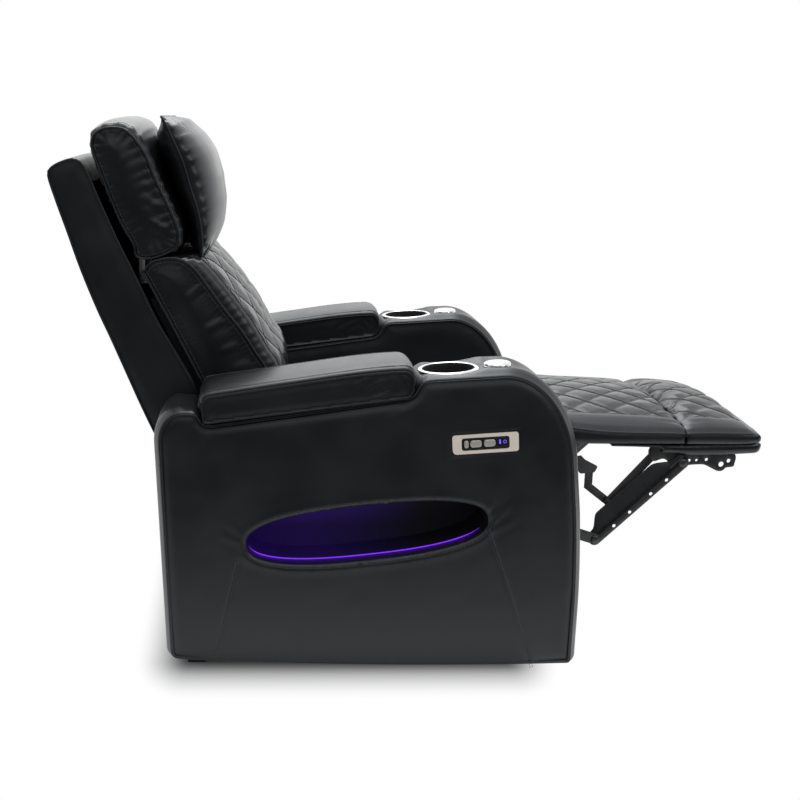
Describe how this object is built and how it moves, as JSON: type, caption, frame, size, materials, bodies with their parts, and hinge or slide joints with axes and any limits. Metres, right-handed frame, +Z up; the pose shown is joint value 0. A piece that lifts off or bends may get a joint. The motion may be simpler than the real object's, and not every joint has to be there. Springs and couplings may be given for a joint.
{
  "type": "power recliner chair",
  "caption": "Power recliner chair in black leather with a tilting headrest, raised footrest on steel links, lidded arm bins, cup holders and lit side pockets.",
  "frame": {"origin": "on the floor under the middle of the chair's box, footrest out", "axes": "+Z up, the sitter faces -Y, the sitter's right hand is at -X"},
  "size_m": [0.9198, 1.5102, 1.1169],
  "materials": {
    "arm_outer_panel_right": "semi-gloss black upholstery",
    "arm_inner_panel_right": "semi-gloss black upholstery",
    "arm_band_right": "semi-gloss black upholstery",
    "pocket_tub_right": "satin black",
    "pocket_light_right": "lit violet",
    "storage_bin_right": "satin black",
    "cup_holder_right": "polished",
    "foot_skid_right": "satin black",
    "arm_outer_panel_left": "semi-gloss black upholstery",
    "arm_inner_panel_left": "semi-gloss black upholstery",
    "arm_band_left": "semi-gloss black upholstery",
    "pocket_tub_left": "satin black",
    "pocket_light_left": "lit violet",
    "storage_bin_left": "satin black",
    "cup_holder_left": "polished",
    "foot_skid_left": "satin black",
    "switch_plate": "satin champagne",
    "switch_housing": "satin black",
    "side_plate_right": "satin black",
    "side_plate_left": "satin black",
    "cross_tube_front": "satin black",
    "cross_tube_rear": "satin black",
    "seat_frame": "black-stained board",
    "seat_spring": "zinc-plated",
    "seat_cushion": "semi-gloss black upholstery",
    "footrest_motor": "satin black",
    "recline_motor": "satin black",
    "tray_cap_right": "polished",
    "tray_cap_left": "polished",
    "lid_board_right": "black-stained board",
    "lid_pad_right": "semi-gloss black upholstery",
    "lid_board_left": "black-stained board",
    "lid_pad_left": "semi-gloss black upholstery",
    "power_button": "satin silver",
    "recline_rocker": "satin silver",
    "headrest_rocker": "satin silver",
    "drive_shaft": "satin black",
    "footrest_block": "satin black",
    "channel_link_right": "satin black",
    "channel_link_left": "satin black",
    "guide_link_right": "satin black",
    "guide_link_left": "satin black",
    "crank_link_right": "satin black",
    "crank_link_left": "satin black",
    "footrest_bracket_right": "satin black",
    "footrest_bracket_left": "satin black",
    "footrest_board": "semi-gloss black upholstery",
    "footrest_pad": "semi-gloss black upholstery",
    "footrest_end_pad": "semi-gloss black upholstery",
    "back_frame": "semi-gloss black upholstery",
    "back_cover": "semi-gloss black upholstery",
    "back_support": "black-stained board",
    "lumbar_cushion": "semi-gloss black upholstery",
    "recline_shaft": "satin black",
    "headrest_motor": "satin black",
    "recline_block": "satin black",
    "headrest_arm": "satin black",
    "headrest_block": "semi-gloss black upholstery",
    "headrest_pillow": "semi-gloss black upholstery",
    "headrest_rod": "zinc-plated"
  },
  "bodies": {
    "chair": {"arm_outer_panel_right": "arm_outer_panel_right", "arm_inner_panel_right": "arm_inner_panel_right", "arm_band_right": "arm_band_right", "pocket_tub_right": "pocket_tub_right", "pocket_light_right": "pocket_light_right", "storage_bin_right": "storage_bin_right", "cup_holder_right": "cup_holder_right", "foot_skid_right": "foot_skid_right", "arm_outer_panel_left": "arm_outer_panel_left", "arm_inner_panel_left": "arm_inner_panel_left", "arm_band_left": "arm_band_left", "pocket_tub_left": "pocket_tub_left", "pocket_light_left": "pocket_light_left", "storage_bin_left": "storage_bin_left", "cup_holder_left": "cup_holder_left", "foot_skid_left": "foot_skid_left", "switch_plate": "switch_plate", "switch_housing": "switch_housing", "side_plate_right": "side_plate_right", "side_plate_left": "side_plate_left", "cross_tube_front": "cross_tube_front", "cross_tube_rear": "cross_tube_rear", "seat_frame": "seat_frame", "seat_spring": "seat_spring", "seat_cushion": "seat_cushion", "footrest_motor": "footrest_motor", "recline_motor": "recline_motor"},
    "tray_cap_right": {"tray_cap_right": "tray_cap_right"},
    "tray_cap_left": {"tray_cap_left": "tray_cap_left"},
    "arm_lid_right": {"lid_board_right": "lid_board_right", "lid_pad_right": "lid_pad_right"},
    "arm_lid_left": {"lid_board_left": "lid_board_left", "lid_pad_left": "lid_pad_left"},
    "power_button": {"power_button": "power_button"},
    "recline_rocker": {"recline_rocker": "recline_rocker"},
    "headrest_rocker": {"headrest_rocker": "headrest_rocker"},
    "drive_shaft": {"drive_shaft": "drive_shaft"},
    "footrest_block": {"footrest_block": "footrest_block"},
    "channel_links": {"channel_link_right": "channel_link_right", "channel_link_left": "channel_link_left"},
    "guide_links": {"guide_link_right": "guide_link_right", "guide_link_left": "guide_link_left"},
    "crank_links": {"crank_link_right": "crank_link_right", "crank_link_left": "crank_link_left"},
    "footrest": {"footrest_bracket_right": "footrest_bracket_right", "footrest_bracket_left": "footrest_bracket_left", "footrest_board": "footrest_board", "footrest_pad": "footrest_pad", "footrest_end_pad": "footrest_end_pad"},
    "back": {"back_frame": "back_frame", "back_cover": "back_cover", "back_support": "back_support", "lumbar_cushion": "lumbar_cushion", "recline_shaft": "recline_shaft", "headrest_motor": "headrest_motor"},
    "recline_block": {"recline_block": "recline_block"},
    "headrest": {"headrest_arm": "headrest_arm", "headrest_block": "headrest_block", "headrest_pillow": "headrest_pillow"},
    "headrest_rod": {"headrest_rod": "headrest_rod"}
  },
  "joints": [
    {"name": "back_recline", "type": "hinge", "parent": "chair", "child": "back", "pos_m": [0, 0.30422, 0.43], "axis": [-1, 0, 0], "range_deg": [-12, 24]},
    {"name": "recline_block_slide", "type": "slide", "parent": "chair", "child": "recline_block", "axis": [0, -1, 0], "range_m": [-0.0335, 0.0665]},
    {"name": "headrest_tilt", "type": "hinge", "parent": "back", "child": "headrest", "pos_m": [0, 0.44937, 0.82782], "axis": [1, 0, 0], "range_deg": [0, 25]},
    {"name": "headrest_rod_slide", "type": "slide", "parent": "back", "child": "headrest_rod", "axis": [0, 0, 1], "range_m": [0, 0.0515]},
    {"name": "footrest_drive", "type": "hinge", "parent": "chair", "child": "drive_shaft", "pos_m": [0, -0.14974, 0.30785], "axis": [1, 0, 0], "range_deg": [0, 88]},
    {"name": "channel_links_turn", "type": "hinge", "parent": "drive_shaft", "child": "channel_links", "pos_m": [0, -0.41082, 0.22388], "axis": [1, 0, 0], "range_deg": [-88.5, 0.5]},
    {"name": "footrest_turn", "type": "hinge", "parent": "channel_links", "child": "footrest", "pos_m": [0, -0.59186, 0.39803], "axis": [1, 0, 0], "range_deg": [-0.5, 88.5]},
    {"name": "guide_links_turn", "type": "hinge", "parent": "footrest", "child": "guide_links", "pos_m": [0, -0.53579, 0.41207], "axis": [1, 0, 0], "range_deg": [-88.5, 0.5]},
    {"name": "crank_links_turn", "type": "hinge", "parent": "chair", "child": "crank_links", "pos_m": [0, -0.23576, 0.37184], "axis": [1, 0, 0], "range_deg": [-0.5, 88.5]},
    {"name": "footrest_block_slide", "type": "slide", "parent": "chair", "child": "footrest_block", "axis": [0, 1, 0], "range_m": [-0.0005, 0.077]},
    {"name": "arm_lid_right_hinge", "type": "hinge", "parent": "chair", "child": "arm_lid_right", "pos_m": [0, 0.44647, 0.55141], "axis": [-1, 0, 0], "range_deg": [0, 80]},
    {"name": "arm_lid_left_hinge", "type": "hinge", "parent": "chair", "child": "arm_lid_left", "pos_m": [0, 0.44647, 0.55141], "axis": [-1, 0, 0], "range_deg": [0, 80]},
    {"name": "power_button_press", "type": "slide", "parent": "chair", "child": "power_button", "axis": [1, 0, 0], "range_m": [0, 0.0015], "stiffness_N_per_m": 400},
    {"name": "recline_rocker_tip", "type": "hinge", "parent": "chair", "child": "recline_rocker", "pos_m": [-0.44947, -0.10013, 0.49037], "axis": [0, 0.0715, 0.9974], "range_deg": [-5, 5], "stiffness_Nm_per_rad": 0.15},
    {"name": "headrest_rocker_tip", "type": "hinge", "parent": "chair", "child": "headrest_rocker", "pos_m": [-0.44947, -0.12756, 0.49233], "axis": [0, 0.0715, 0.9974], "range_deg": [-5, 5], "stiffness_Nm_per_rad": 0.15},
    {"name": "tray_cap_right_lift", "type": "slide", "parent": "chair", "child": "tray_cap_right", "axis": [0, 0.0663, 0.9978], "range_m": [0, 0.03]},
    {"name": "tray_cap_left_lift", "type": "slide", "parent": "chair", "child": "tray_cap_left", "axis": [0, 0.0663, 0.9978], "range_m": [0, 0.03]}
  ],
  "couplings": [
    {"joint": "recline_block_slide", "follows": "back_recline", "m_per_rad": 0.1574},
    {"joint": "headrest_rod_slide", "follows": "headrest_tilt", "m_per_rad": 0.1169},
    {"joint": "channel_links_turn", "follows": "footrest_drive", "ratio": -1},
    {"joint": "footrest_turn", "follows": "footrest_drive", "ratio": 1},
    {"joint": "guide_links_turn", "follows": "footrest_drive", "ratio": -1},
    {"joint": "crank_links_turn", "follows": "footrest_drive", "ratio": 1},
    {"joint": "footrest_block_slide", "follows": "footrest_drive", "m_per_rad": 0.04975}
  ]
}
